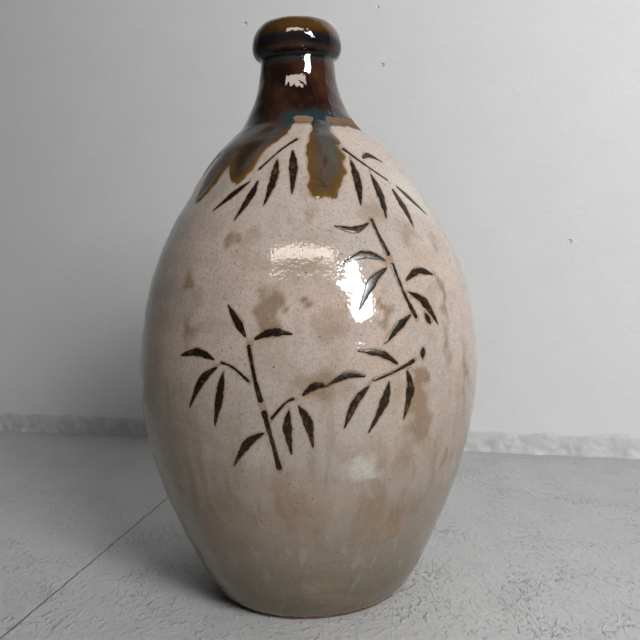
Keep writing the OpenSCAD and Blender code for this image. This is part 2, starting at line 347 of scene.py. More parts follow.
# %% The lining
lining_path = np.concatenate([[[0, floor_t]], lower_inside, upper_inside[1:], neck_inside[1:]])
lining_path = evenly(lining_path, 4)
lining_face = lining_path - lining_t * outward(lining_path)
lining_face[0, 0] = 0
lining_face[-1, 1] = mouth_low
lining = lathe("swilled_lining", np.concatenate([lining_path, lining_face[::-1]]), 120)
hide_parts("inner_glaze")

# %% [markdown]
# ## Two glazes as layers with rounded edges
#
# Glaze is a film half a millimetre thick that ends in a rounded bead. A film with a free edge can't be a
# lathe piece. Each film is a grid over the whole shoulder instead, together with the signed distance of
# every point to the film's edge. The distance gives the thickness: a quarter circle inside the edge, and a
# dive below the surface outside it. So the visible edge is where two smooth surfaces cross, however coarse
# the grid is. Cells well outside the edge are left out, and the rest is closed into a solid.

# %% Distances on the surface


def on_clay(angle_deg, z, lift=0.0):
    """Point on the clay at an angle from the front and a height, lifted square to the surface."""
    angle = np.radians(angle_deg)
    slope = clay_slope(z)
    tilt = np.sqrt(1 + slope**2)
    r = clay_radius(z) + lift / tilt
    return np.stack([r * np.sin(angle), -r * np.cos(angle), z - lift * slope / tilt], axis=-1)


def smooth_curve(points, steps):
    """A smooth curve through rows of numbers: each stretch is the cubic that has its neighbours' slopes."""
    p = np.array(points, float)
    padded = np.concatenate([p[:1], p, p[-1:]])
    a, b, c, d = padded[:-3], padded[1:-2], padded[2:-1], padded[3:]
    t = (np.arange(steps) / steps)[:, None, None]
    curve = 2 * b + (c - a) * t + (2 * a - 5 * b + 4 * c - d) * t**2 + (3 * b - a - 3 * c + d) * t**3
    return np.concatenate([0.5 * curve.transpose(1, 0, 2).reshape(-1, p.shape[1]), p[-1:]])


def depth_in_run(points, run):
    """How deep points lie inside a run of [angle, height, half width]: half width less the distance."""
    curve = smooth_curve(run, 8)
    middle = on_clay(curve[:, 0], curve[:, 1])
    best = np.full(points.shape[:-1], -1e3)
    for centre, half_width in zip(middle, curve[:, 2]):
        best = np.maximum(best, half_width - np.linalg.norm(points - centre, axis=-1))
    return best


def bead(depth, width):
    """Height of a film against the distance to its edge: a quarter circle inside, a dive outside."""
    t = np.clip(depth / width, 0, 1)
    return np.sqrt(1 - (1 - t) ** 2) + np.clip(depth, -2, 0) * 0.6


def both(a, b, softness):
    """The larger of two distances, rounded where they are nearly equal, as two runs of glaze merge."""
    h = np.clip(0.5 + 0.5 * (a - b) / softness, 0, 1)
    return b * (1 - h) + a * h + softness * h * (1 - h)


# %% [markdown]
# ## Where the dark glaze ran
#
# The bottle was held upside down and dipped to the shoulder, and the glaze then ran back down: a broad
# sheet on the left, a tongue at the front, and more round the back. Each run is a curve on the surface with
# a half width along it, and the runs merge where they touch.

# %% The runs of dark glaze, as [angle, height, half width]
RUNS = [
    # The sheet on the left: three streams side by side
    [[-28, 250, 9], [-24, 241, 9.5], [-33, 231, 9], [-34, 222, 7], [-33.5, 216.5, 3.6], [-33, 214.5, 2.2]],
    [[-50, 250, 9], [-50, 238, 10], [-53, 226, 9], [-55, 216, 7.5], [-56, 209, 4]],
    [[-72, 250, 9], [-80, 234, 12], [-86, 218, 9], [-88, 211, 4]],
    # The tongue at the front, with a narrow throat and two lobes
    [[20.6, 250, 3.6], [18.4, 243.5, 3.7], [15.8, 239, 4.6], [13.3, 233, 6.6], [11.8, 227, 8.2],
     [10.6, 220, 8.4], [9, 214, 7.3], [7.6, 210, 5.6]],
    [[4.4, 209, 3.6], [4.5, 206.2, 3.0]],
    [[10.5, 209.5, 3.8], [10.2, 206.4, 3.0]],
    [[18.5, 236, 2.6], [20.5, 233, 2.2]],
    [[17.5, 227, 3.0], [20.5, 225, 1.8]],
    [[16, 220, 3.0], [18.5, 217, 1.6]],
    # Round the back
    [[96, 252, 7], [103, 240, 6], [108, 228, 5.6], [110, 221, 4.4]],
    [[128, 251, 7], [130, 242, 6], [131, 236, 5]],
    [[148, 252, 8], [151, 238, 7], [152, 222, 7], [152, 210, 6.4]],
    [[176, 251, 8], [182, 240, 8], [186, 229, 6.5]],
    [[206, 252, 8], [211, 238, 7.5], [214, 224, 7], [215, 216, 5.6]],
    [[236, 251, 8], [240, 241, 7.5], [241, 236, 6]],
    [[262, 252, 9], [267, 236, 10], [271, 220, 8.5], [272, 214, 5]],
]


def dark_depth(points):
    """Distance inside the edge of the dark glaze: above the pour line, or in any of the runs."""
    z = points[..., 2]
    angle = np.arctan2(points[..., 0], -points[..., 1])
    line = 249.4 - 2.0 * np.cos(angle + 0.25) + 0.3 * np.sin(5 * angle + 1)
    total = (z - line) * 1.35
    for run in RUNS:
        total = both(total, depth_in_run(points, run), 1.6)
    return total + 0.28 * waves(points, 5, 11) + 0.05 * waves(points, 2.2, 12)


def pale_depth(points):
    """Distance inside the edge of the pale glaze: below its upper line and above its line at the foot."""
    z = points[..., 2]
    angle = np.arctan2(points[..., 0], -points[..., 1])
    line = 243.0 + 0.5 * np.sin(3 * angle + 2) + 0.6 * np.sin(angle - 0.5)
    top = (line - z) * 1.35 + 0.35 * waves(points, 6, 21)
    foot = (z - 3.0 - 0.5 * np.sin(2 * angle)) * 1.2 + 0.3 * waves(points, 9, 22)
    return np.minimum(top, foot)


# %% [markdown]
# ## Closing a film into a solid
#
# The film has an outer and an under side on the same grid. The cells that are kept give a quad on each
# side, and a kept cell next to a missing one also gets a wall between the two sides. All of it comes from
# comparing the array of kept cells with itself moved by one.

# %% Film helper
EDGE_MARGIN = 0.8


def film(name, outer, under, keep, **values):
    """A closed solid from two sides of a grid of rows and columns round the pot, for the cells in keep."""
    rows, columns = outer.shape[:2]
    i, j = np.nonzero(keep)
    right = (j + 1) % columns
    a, b = i * columns + j, i * columns + right
    c, d = (i + 1) * columns + right, (i + 1) * columns + j
    down = rows * columns
    closed = np.pad(keep, ((1, 1), (0, 0)))
    open_below = ~closed[i, j]
    open_above = ~closed[i + 2, j]
    open_right = ~keep[i, right]
    open_left = ~keep[i, (j - 1) % columns]
    faces = [np.stack([a, b, c, d], axis=1), np.stack([a, d, c, b], axis=1) + down]
    for missing, start, end in (
        (open_below, a, b), (open_right, b, c), (open_above, c, d), (open_left, d, a),
    ):
        s, e = start[missing], end[missing]
        faces.append(np.stack([e, s, s + down, e + down], axis=1))
    faces = np.concatenate(faces)
    used, numbered = np.unique(faces, return_inverse=True)
    points = np.concatenate([outer.reshape(-1, 3), under.reshape(-1, 3)])[used]
    doubled = {key: np.concatenate([v.ravel(), v.ravel()])[used] for key, v in values.items()}
    return write_piece(name, points, numbered.reshape(-1, 4), **doubled)


def cells_inside(depth):
    """Cells of which any corner is less than the margin outside the film's edge."""
    near = depth > -EDGE_MARGIN
    beside = np.roll(near, -1, axis=1)
    return near[:-1] | near[1:] | beside[:-1] | beside[1:]


def lifted(path, columns, lift):
    """Grid over a path round the pot, with every point lifted square to the path by its own amount."""
    out = outward(path)
    angle = around(columns)[None, :]
    r = path[:, 0][:, None] + out[:, 0][:, None] * lift
    z = path[:, 1][:, None] + out[:, 1][:, None] * lift
    return np.stack([r * np.sin(angle), -r * np.cos(angle), z + 0 * angle], axis=-1)


# %% [markdown]
# ## Brush strokes
#
# The front is decorated with sprays of leaves in iron slip: long leaves that swell and end in a point,
# on thin jointed stems. A stroke could be a bevelled curve, but a brush line is flat and has to hug the pot.
# So a stroke is a ribbon: a smooth curve through a few points of [angle, height, width], carried on the
# surface, with a low dome across it.

# %% The strokes, as in the CAD model
SPRAYS = {
    "upper_left_leaves": [
        [[-3, 234, 1.8], [-13, 228, 1.3], [-23, 219, 1.4]],
        [[-6, 228, 0.8], [-5.5, 219, 4.0], [-6, 206, 0.6]],
        [[-14, 223.5, 0.8], [-14.5, 214, 4.0], [-17, 201, 0.6]],
        [[-22, 213.5, 0.8], [-24, 205, 3.8], [-28, 195, 0.6]],
        [[-26, 213.5, 0.8], [-33, 207.5, 3.4], [-40.5, 200, 0.6]],
    ],
    "upper_right_leaves": [
        [[23, 229, 1.8], [32, 221, 1.3], [42, 213, 1.4]],
        [[25, 223, 0.8], [24, 213, 4.0], [21, 200, 0.6]],
        [[33, 216, 0.8], [32.5, 206, 4.0], [30, 194, 0.6]],
        [[41.5, 209, 0.8], [42, 201, 3.8], [42, 190, 0.6]],
        [[45.5, 210.5, 0.8], [50, 205, 3.4], [56, 197, 0.6]],
        [[33, 224, 0.8], [39, 226, 3.2], [47, 223, 0.6]],
    ],
    "right_branch": [
        [[33, 149, 2.4], [29, 162, 1.7], [27, 174, 2.4]],
        [[26.5, 177, 2.4], [24.5, 187, 1.6], [23.5, 194, 2.0]],
        [[25, 175, 0.8], [18, 178, 3.8], [10, 174, 0.6]],
        [[25, 172, 0.8], [19, 166, 4.0], [14, 154, 0.6]],
        [[31, 166, 0.8], [37, 170, 3.8], [44, 168, 0.6]],
        [[31, 161, 0.8], [37, 156, 4.0], [42, 145, 0.6]],
        [[22, 192, 0.8], [16, 189, 3.2], [9, 191, 0.6]],
        [[31, 151, 0.8], [26, 146, 3.8], [21, 139, 0.6]],
    ],
    "lower_right_leaves": [
        [[31, 131, 2.0], [24, 127, 1.4], [17, 124, 1.4]],
        [[28, 127, 0.8], [29, 118, 4.0], [27, 105, 0.6]],
        [[22, 123, 0.8], [20.5, 114, 4.2], [16, 101, 0.6]],
        [[16, 122, 0.8], [12, 115, 3.8], [9, 104, 0.6]],
        [[15, 126, 0.8], [10, 127, 3.4], [4, 123, 0.6]],
        [[25, 130, 0.8], [20, 135, 3.4], [13, 137, 0.6]],
        [[36.5, 151, 1.4], [37.5, 148.5, 3.4], [38.5, 146, 1.2]],
        [[34.5, 136, 1.4], [34, 133.5, 3.4], [34, 131, 1.2]],
    ],
    "left_branch": [
        [[-9, 86, 2.6], [-11, 100, 1.8], [-13, 113, 2.6]],
        [[-13.6, 116, 2.6], [-16, 130, 1.8], [-17.5, 141, 2.4]],
        [[-17, 125, 1.4], [-22, 131, 1.2], [-26, 133, 1.2]],
        [[-11, 109, 1.4], [-7, 116, 1.2], [-4.5, 118, 1.2]],
        [[-27, 131, 0.8], [-32, 125, 4.0], [-37, 112, 0.6]],
        [[-25, 129, 0.8], [-26, 119, 4.2], [-28, 105, 0.6]],
        [[-28, 134, 0.8], [-34, 137, 3.8], [-41, 135, 0.6]],
        [[-18.5, 144, 0.8], [-21, 150, 3.8], [-25, 158, 0.6]],
        [[-16, 143, 0.8], [-11, 146, 3.8], [-5, 145, 0.6]],
        [[-3.5, 115, 0.8], [-1, 108, 4.0], [0.5, 96, 0.6]],
        [[-6, 113, 0.8], [-6.5, 105, 3.8], [-5.5, 93, 0.6]],
        [[-2.5, 119, 0.8], [1, 123, 3.4], [5, 123, 0.6]],
        [[-13, 103, 0.8], [-18, 98, 4.0], [-23, 87, 0.6]],
    ],
}
STROKE_STEPS = 14
STROKE_ACROSS = 9
slip_t = 0.35


def stroke_ribbon(points):
    """One stroke as closed points and faces: a domed upper side and a flat side sunk into the glaze.

    Along the curve the width follows the points, with round ends; across it the height is one minus the
    square of the distance from the middle, a little fuller, and thicker where the brush stopped."""
    curve = smooth_curve(points, STROKE_STEPS)
    count = len(curve)
    angle, z, width = curve.T
    scale = clay_radius(z) * np.pi / 180
    stretch = np.sqrt(1 + clay_slope(z) ** 2)
    along = np.stack([np.gradient(angle) * scale, np.gradient(z) * stretch], axis=1)
    along = along / np.hypot(along[:, 0], along[:, 1])[:, None]
    place = on_clay(angle, z)
    length = np.concatenate([[0], np.cumsum(np.linalg.norm(np.diff(place, axis=0), axis=1))])
    to_end = np.minimum(length, length[-1] - length)
    round_end = np.sqrt(np.clip(1 - (1 - np.clip(to_end / (0.5 * width), 0, 1)) ** 2, 0, 1))
    shake = 1 + 0.10 * waves(place, 4, 31) + 0.06 * waves(place, 1.6, 32)
    half = 0.5 * width * shake * (0.12 + 0.88 * round_end)
    t = np.linspace(-1, 1, STROKE_ACROSS)[None, :]
    side_angle = angle[:, None] - t * (half * along[:, 1] / scale)[:, None]
    side_z = z[:, None] + t * (half * along[:, 0] / stretch)[:, None]
    pool = 0.75 + 0.45 * np.exp(-((length[-1] - length) / 3.0) ** 2)
    dome = np.clip(1 - t**2, 0, 1) ** 0.8 * (pool * (0.25 + 0.75 * round_end))[:, None]
    upper = on_clay(side_angle, side_z, pale_t + 0.03 + 0.5 * slip_t * dome)
    lower = on_clay(side_angle, side_z, pale_t - 0.2 + 0 * dome)
    ring = np.concatenate([upper, lower[:, ::-1]], axis=1)
    sides = 2 * STROKE_ACROSS
    faces = grid_faces(count, sides).tolist()
    faces.append(list(range(sides - 1, -1, -1)))
    faces.append([(count - 1) * sides + k for k in range(sides)])
    thin = np.concatenate([np.abs(t) + 0 * dome, np.abs(t[:, ::-1]) + 0 * dome], axis=1)
    return ring.reshape(-1, 3), faces, thin.ravel()


def spray(name, strokes):
    """All the strokes of one spray as one piece."""
    points, faces, thin = [], [], []
    start = 0
    for stroke in strokes:
        p, f, across = stroke_ribbon(stroke)
        points.append(p)
        faces.extend([[k + start for k in face] for face in f])
        thin.append(across)
        start += len(p)
    piece = write_piece(name, thrown(np.concatenate(points)), faces, across=np.concatenate(thin))
    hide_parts(name.replace("brushed_", ""))
    return piece


sprays = [spray("brushed_" + name, strokes) for name, strokes in SPRAYS.items()]

# %% [markdown]
# ## The pale glaze
#
# A sheet over the belly from just above the foot to the shoulder. Its points also carry what the material
# needs to know: how near a brush stroke, the dark glaze and the coat's own edge are, and where a stain or a
# painted sheen lies.

# %% The pale coat
PALE_COLUMNS = 360
PALE_BEAD = 1.6
SUNK = 0.15


def ink_distance(points):
    """Distance of points to the nearest stroke's edge, up to 9 mm: to its middle less half its width."""
    best = np.full(len(points), 9.0)
    for strokes in SPRAYS.values():
        for stroke in strokes:
            curve = smooth_curve(stroke, 10)
            middle = on_clay(curve[:, 0], curve[:, 1])
            low, high = middle.min(axis=0) - 8, middle.max(axis=0) + 8
            near = np.nonzero(np.all((points > low) & (points < high), axis=1))[0]
            away = np.linalg.norm(points[near, None] - middle[None], axis=2) - 0.5 * curve[:, 2]
            best[near] = np.minimum(best[near], away.min(axis=1))
    return best


# Stains under the glaze, as [angle, height, half width, half height, strength]; minus is a pale patch, and
# the two pale patches high on the right, at 54 and 64 degrees, are a painted sheen of the light
STAINS_AND_SHEEN = [
    [-12, 156, 6.5, 8.2, 1.25], [-26.5, 186, 4, 3.9, 1.12], [-2, 160, 2.3, 4.5, 1.12],
    [-6.5, 155, 2.5, 2.4, 1.12], [-0.5, 195, 6.2, 7.5, 0.62], [-39, 145, 6.2, 9, 0.75],
    [2, 123, 14, 7.5, 0.75], [6, 148, 9.3, 10.5, 0.56], [33, 106, 7.8, 13.5, 1.25],
    [32, 121, 3.4, 12, 1], [22, 155, 3.1, 7.5, 1], [25, 87, 12.4, 9, 0.69], [20, 63, 9.3, 21, 0.75],
    [30, 58, 4.7, 21, 0.75], [-7, 70, 6.2, 27, 0.75], [0, 60, 7.8, 18, 0.56], [-28, 72, 7.8, 18, 0.5],
    [-22, 57, 6.2, 15, 0.5], [-38, 54, 10.8, 22.5, 0.62], [47, 159, 3.1, 15, 1],
    [45, 137, 3.9, 10.5, 0.88], [56, 120, 3.9, 21, 0.88], [48, 83, 3.1, 12, 0.88],
    [52, 186, 4.7, 9, 0.62], [-11, 146, 6.2, 6, 0.62], [-42, 167, 4.7, 4.5, 0.88],
    [-19, 189, 3.9, 7.5, 0.5], [-36, 162, 4.7, 9, 0.5], [-6, 173, 15.5, 12, 0.44],
    [25, 197, 9.3, 9, 0.5], [38, 188, 7.8, 9, 0.62], [16, 86, 12.4, 9, -0.7], [20, 80, 7.8, 7.5, -0.5],
    [-14, 92, 10.8, 9, -0.4], [-30, 118, 12.4, 13.5, -0.3], [95, 150, 7.8, 24, 0.75],
    [118, 98, 10.8, 18, 0.62], [140, 170, 9.3, 9, 0.88], [158, 60, 7.8, 27, 0.62],
    [185, 130, 14, 10.5, 0.62], [200, 84, 6.2, 22.5, 0.75], [226, 160, 7.8, 13.5, 0.75],
    [250, 110, 10.8, 18, 0.62], [54, 207, 17, 19, -0.7], [64, 178, 9, 22, -0.4],
    [268, 180, 6.2, 12, 0.62], [285, 70, 7.8, 24, 0.62], [128, 40, 14, 15, -0.5],
    [215, 120, 12.4, 13.5, -0.5],
]


def stain_strength(points):
    """Sum of soft-edged spots whose outlines are pushed about by slow waves."""
    pushed = points + 1.6 * np.stack([waves(points, 9, 61), waves(points, 9, 62), waves(points, 9, 63)], -1)
    total = np.zeros(points.shape[:-1])
    for angle, z, half_w, half_h, strength in STAINS_AND_SHEEN:
        centre = on_clay(angle, z)
        away = pushed - centre
        level = np.hypot(away[..., 0], away[..., 1]) / half_w
        total = total + strength * np.exp(-((level**2 + (away[..., 2] / half_h) ** 2) ** 1.4))
    return np.clip(total, -1, 1.3)


pale_path = outline(1.2, 249.5, 2.2)
pale_flat = lifted(pale_path, PALE_COLUMNS, 0)
depth = pale_depth(pale_flat)
peel = 0.015 * waves(pale_flat, 11, 41)
pale_lift = pale_t * bead(depth, PALE_BEAD) + peel * (depth > 0)
ink = ink_distance(pale_flat.reshape(-1, 3)).reshape(depth.shape)
under_dark = dark_depth(pale_flat)
pale_outer = thrown(lifted(pale_path, PALE_COLUMNS, pale_lift))
pale_under = thrown(lifted(pale_path, PALE_COLUMNS, np.minimum(pale_lift, 0) - SUNK))
pale_coat = film(
    "pale_glaze_coat", pale_outer, pale_under, cells_inside(depth),
    ink=ink, dark=under_dark, edge=depth, stain=stain_strength(pale_flat),
)
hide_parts("pale_glaze")

# %% [markdown]
# ## The dark glaze
#
# One film from inside the mouth, over the collar and down the neck, that ends in the runs. The path over
# the neck and collar is rounded first, because liquid glaze fills the sharp corner under the collar.

# %% The dark coat
DARK_COLUMNS = 372
DARK_BEAD = 1.7
HEAD_FROM = 252


def rounded(path, reach_mm, spacing):
    """A path with its corners rounded: every point becomes a weighted mean of the points around it."""
    half = int(3 * reach_mm / spacing)
    weights = np.exp(-0.5 * (np.arange(-half, half + 1) * spacing / reach_mm) ** 2)
    weights = weights / weights.sum()
    ends = np.pad(path, ((half, half), (0, 0)), mode="reflect", reflect_type="odd")
    return np.stack([np.convolve(ends[:, k], weights, mode="valid") for k in range(2)], axis=1)


shoulder_path = evenly(outline(194, HEAD_FROM, 0.5), 1.0)
head_path = np.concatenate([
    outline(HEAD_FROM, neck_top, 0.4)[1:], collar_under[1:], collar_over[1:], lip_inside[1:],
    [[mouth_r + lining_t, mouth_low]],
])
head_path = rounded(evenly(head_path, 0.4), 0.9, 0.4)[::3]
dark_path = np.concatenate([shoulder_path, head_path])
dark_path[-1] = [mouth_r + lining_t, mouth_low]
on_body = dark_path[:, 1] < HEAD_FROM
dark_flat = lifted(dark_path, DARK_COLUMNS, 0)
depth = np.where(on_body[:, None], dark_depth(dark_flat), 9.0)
depth = np.clip(depth, -9, 9)
under = np.clip((pale_depth(dark_flat) + 5) / 6, 0, 1)
bed = np.where(on_body[:, None], pale_t * under**2 * (3 - 2 * under), 0)
tip = np.clip((235 - dark_flat[..., 2]) / 30, 0, 1)
thickness = 0.28 + 0.12 * tip * np.exp(-((np.clip(depth, 0, 9) - 1.6) / 1.6) ** 2)
thickness = thickness * (1 + 0.18 * waves(dark_flat, 9, 51)) + 0.02 * waves(dark_flat, 2.5, 52)
STREAMS = [
    [[20.3, 250, 3.4], [17.5, 243, 3.2], [15.5, 237, 3.8], [15.5, 230, 3.4], [16, 222, 2.2], [16, 216, 1.4]],
    [[-10, 249, 3.4], [-15, 240, 3.2], [-23, 231, 2.6], [-30, 222, 1.6]],
    [[104, 250, 3], [107, 238, 2.5], [109, 228, 2]], [[151, 250, 3.5], [152, 230, 3], [152, 216, 2]],
    [[212, 250, 3], [214, 232, 3], [215, 220, 2]], [[264, 250, 4], [269, 232, 3], [271, 220, 2]],
]
stream = np.full(depth.shape, -9.0)
for one in STREAMS:
    stream = both(stream, depth_in_run(dark_flat, one), 1.5)
in_mouth = (dark_path[:, 0] < lip_r) & (dark_path[:, 1] > 200)
thickness = np.where(in_mouth[:, None], 0.36, thickness)
dark_lift = bed + thickness * bead(depth, DARK_BEAD)
dark_outer = thrown(lifted(dark_path, DARK_COLUMNS, dark_lift))
dark_under = thrown(lifted(dark_path, DARK_COLUMNS, np.minimum(dark_lift, bed) - 0.12))
dark_coat = film(
    "dark_glaze_coat", dark_outer, dark_under, cells_inside(depth),
    edge=depth, stream=np.maximum(stream, -9),
)
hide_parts("neck_glaze", "glaze_runs")
print("dark glaze covers", int((depth > 0).sum()), "of", depth.size, "points")

# %% [markdown]
# ## Shader maths as expressions
#
# A glaze is a mixture of patterns, and a mixture is arithmetic. Node by node that is long and hard to read,
# so a small class stands for one output of a node, and its operators add the Math nodes.

# %% The value class and the finish class


class Value:
    """One output of a node in a finish. Arithmetic on it adds the Math node that works it out."""

    def __init__(self, finish, socket):
        self.finish = finish
        self.socket = socket

    def math(self, operation, *terms):
        return self.finish.node("ShaderNodeMath", {"operation": operation}, dict(enumerate(terms)))

    def __add__(self, other):
        return self.math("ADD", self, other)

    def __radd__(self, other):
        return self.math("ADD", other, self)

    def __sub__(self, other):
        return self.math("SUBTRACT", self, other)

    def __rsub__(self, other):
        return self.math("SUBTRACT", other, self)

    def __mul__(self, other):
        return self.math("MULTIPLY", self, other)

    def __rmul__(self, other):
        return self.math("MULTIPLY", other, self)

    def most(self, other):
        return self.math("MAXIMUM", self, other)

    def rise(self, low, high):
        """0 below low, 1 above high and a smooth step between."""
        return self.finish.node(
            "ShaderNodeMapRange", {"interpolation_type": "SMOOTHSTEP"},
            {"Value": self, "From Min": low, "From Max": high},
        )


class Finish:
    """A material under construction: node() adds any node, and the rest are the few patterns in use."""

    def __init__(self, name):
        self.material = bpy.data.materials.new(name)
        self.material.use_nodes = True
        self.tree = self.material.node_tree
        self.tree.nodes.clear()
        self.place = self.node("ShaderNodeTexCoord", output="Object")

    def node(self, kind, settings=None, inputs=None, output=0):
        """Adds a node, makes its settings, then joins or sets its inputs, and gives one output."""
        made = self.tree.nodes.new(kind)
        for key, value in (settings or {}).items():
            setattr(made, key, value)
        for key, value in (inputs or {}).items():
            if isinstance(value, Value):
                self.tree.links.new(value.socket, made.inputs[key])
            else:
                made.inputs[key].default_value = value
        return Value(self, made.outputs[output])

    def along(self, axis):
        """Position along X, Y or Z, in millimetres."""
        return self.node("ShaderNodeSeparateXYZ", None, {0: self.place}, output=axis) * 1000

    def carried(self, name):
        """A number that the mesh carries at its points."""
        return self.node("ShaderNodeAttribute", {"attribute_name": name}, output="Fac")

    def noise(self, size_mm, detail=2.0, stretch=(1, 1, 1), distortion=0.0):
        """Soft random pattern from 0 to 1 with bumps of about the size given, drawn out by the stretch."""
        scaled = self.node(
            "ShaderNodeVectorMath", {"operation": "MULTIPLY"},
            {0: self.place, 1: tuple(1000 / (size_mm * s) for s in stretch)},
        )
        return self.node(
            "ShaderNodeTexNoise", None,
            {"Vector": scaled, "Scale": 1.0, "Detail": detail, "Distortion": distortion},
        )

    def specks(self, size_mm, radius):
        """1 in small round dots, one in each cell of the size given, that fade out at the radius."""
        cell = self.node(
            "ShaderNodeTexVoronoi", {"feature": "F1"}, {"Vector": self.place, "Scale": 1000 / size_mm},
            output="Distance",
        )
        return 1 - cell.rise(0.5 * radius, radius)

    def mix(self, factor, a, b):
        """Colour a where the factor is 0 and colour b where it is 1."""
        return self.node(
            "ShaderNodeMix", {"data_type": "RGBA"},
            {"Factor": factor, 6: self.colour(a), 7: self.colour(b)}, output=2,
        )

    def colour(self, value):
        return value if isinstance(value, Value) else (*value, 1)

    def bump(self, height, distance_mm, strength=1.0):
        """A normal tilted by a height pattern that is the given number of millimetres deep."""
        return self.node(
            "ShaderNodeBump", None,
            {"Height": height, "Distance": distance_mm * MM, "Strength": strength}, output="Normal",
        )

    def finish_surface(self, inputs, pieces):
        """Joins the main shader to the output and puts the material on the pieces."""
        shader = self.node("ShaderNodeBsdfPrincipled", None, inputs)
        out = self.tree.nodes.new("ShaderNodeOutputMaterial")
        self.tree.links.new(shader.socket, out.inputs["Surface"])
        for piece in pieces:
            piece.data.materials.clear()
            piece.data.materials.append(self.material)


# %% [markdown]
# ## Finish: bare stoneware
#
# Where no glaze lies, the clay is dry, warm brown and slightly gritty, with dark iron pits. It is rough
# all over, so the colour and a fine bump do all the work.

# %% Bare clay
clay = Finish("bare_stoneware")
patch = clay.noise(14, 3)
grit = clay.noise(0.7, 3)
pits = clay.specks(1.6, 0.22) * clay.noise(5, 2).rise(0.45, 0.6)
colour = clay.mix(patch.rise(0.3, 0.7), (0.155, 0.088, 0.046), (0.265, 0.162, 0.094))
colour = clay.mix(grit.rise(0.35, 0.75) * 0.35, colour, (0.09, 0.06, 0.04))
colour = clay.mix(pits * 0.9, colour, (0.05, 0.035, 0.025))
clay.finish_surface(
    {
        "Base Color": colour,
        "Specular IOR Level": 0.2,
        "Roughness": 0.85,
        "Normal": clay.bump(grit - 0.8 * pits, 0.12),
    },
    [lower_body, upper_body, neck, collar],
)

# %% [markdown]
# ## Finish: the lining
#
# Only a little of it shows, down the mouth: a thin, brown, glossy glaze.

# %% Lining glaze
inner = Finish("lining_glaze")
colour = inner.mix(inner.noise(12, 3), (0.10, 0.065, 0.04), (0.17, 0.12, 0.08))
inner.finish_surface(
    {"Base Color": colour, "Roughness": 0.25, "Normal": inner.bump(inner.noise(3, 1), 0.1)}, [lining],
)

# %% [markdown]
# ## Finish: pale ash glaze
#
# The colour is built in layers: broad drifts between warm and grey, an olive foot that is partly painted
# shade, upright streaks, a darker olive left side that is partly painted shade, stains and pale patches that
# the mesh carries, of which the two pale patches high on the right are a painted sheen, a fine mottle,
# painted shade at the foot and dark specks. Beside a brush stroke and at the edge of the dark glaze, iron
# bleeds into it as an ochre halo.

# %% Pale glaze
pale = Finish("pale_ash_glaze")
height = pale.along("Z")
low = 1 - height.rise(30, 150)
broad = pale.noise(60, 2)
clouds = pale.noise(11, 4)
tea = pale.noise(21, 4, distortion=0.8)
streaks = pale.noise(6.5, 3, stretch=(1, 1, 8), distortion=0.3)
mottle = pale.noise(1.3, 3)
flecks = pale.noise(2.6, 2)
stain = pale.carried("stain")
ink_gap = pale.carried("ink")
dark_gap = pale.carried("dark") * -1
dots = pale.specks(2.3, 0.17) * pale.noise(9, 1).rise(0.42, 0.62)
pores = pale.specks(5.2, 0.085)

warm = (0.575, 0.460, 0.392)
grey = (0.515, 0.448, 0.398)
rose = (0.55, 0.42, 0.36)
brown = (0.245, 0.158, 0.092)
foot_olive_and_shade = (0.112, 0.096, 0.056)
ochre = (0.24, 0.14, 0.045)
colour = pale.mix(broad.rise(0.35, 0.65), warm, grey)
colour = pale.mix(clouds.rise(0.35, 0.75) * 0.5, colour, rose)
# Painted shade with an olive tint: darker and more olive from the foot up to about 160 mm
colour = pale.mix((1 - height.rise(-15, 160)) * 0.95, colour, foot_olive_and_shade)
colour = pale.mix(tea.rise(0.50, 0.66) * (0.26 + 0.30 * low), colour, (0.31, 0.222, 0.145))
colour = pale.mix(streaks.rise(0.50, 0.70) * (0.12 + 0.7 * low), colour, (0.235, 0.172, 0.105))
colour = pale.mix((1 - streaks).rise(0.56, 0.74) * low * 0.35, colour, (0.40, 0.37, 0.30))
# Painted shade with an olive tint: the left side, away from the light, darker olive between about 15 and 135
# mm
left_side = 1 - pale.along("X").rise(-72, -40)
left_olive_and_shade = left_side * height.rise(15, 45) * (1 - height.rise(85, 135)) * (0.35 + streaks)
colour = pale.mix(left_olive_and_shade * 0.55, colour, (0.175, 0.165, 0.078))
patchy = (stain * (0.45 + 0.8 * clouds)).rise(0.05, 0.85) * (0.6 + 0.6 * mottle)
colour = pale.mix(patchy * 0.95, colour, brown)
# Pale patches where the carried value is below zero; the two high on the right are a painted sheen
colour = pale.mix((stain * -1).rise(0.1, 0.8) * 0.6, colour, (0.66, 0.64, 0.57))
colour = pale.mix(mottle.rise(0.40, 0.75) * 0.42, colour, (0.31, 0.235, 0.17))
# Pale flecks, fewer low down, which adds to the painted shade towards the foot
colour = pale.mix(flecks.rise(0.55, 0.75) * (0.22 - 0.19 * low), colour, (0.64, 0.57, 0.50))
dust = pale.noise(0.9, 2)
colour = pale.mix(dust.rise(0.52, 0.68) * 0.28, colour, (0.16, 0.12, 0.085))
foot_shade = (0.074, 0.065, 0.040)
colour = pale.mix((1 - height.rise(-4, 42)) * 0.55, colour, foot_shade)
turning = pale.noise(3.0, 1, stretch=(30, 30, 1)).rise(0.55, 0.7) * (1 - height.rise(15, 60))
colour = pale.mix(turning * 0.18, colour, (0.12, 0.10, 0.07))
halo = (1 - (ink_gap + 0.6 * (mottle - 0.5)).rise(0.0, 1.0)) * 0.8
rim = 1 - (dark_gap + 1.4 * (flecks - 0.5)).rise(-0.2, 1.7)
colour = pale.mix(halo.most(rim) * 0.75, colour, ochre)
colour = pale.mix((dots * 0.55).most(pores * 0.9), colour, (0.07, 0.05, 0.04))
thin_edge = 1 - pale.carried("edge").rise(0.0, 2.2)
colour = pale.mix(thin_edge * 0.45, colour, (0.30, 0.21, 0.14))
orange_peel = pale.noise(1.5, 2) + 0.9 * pale.noise(3.4, 1)
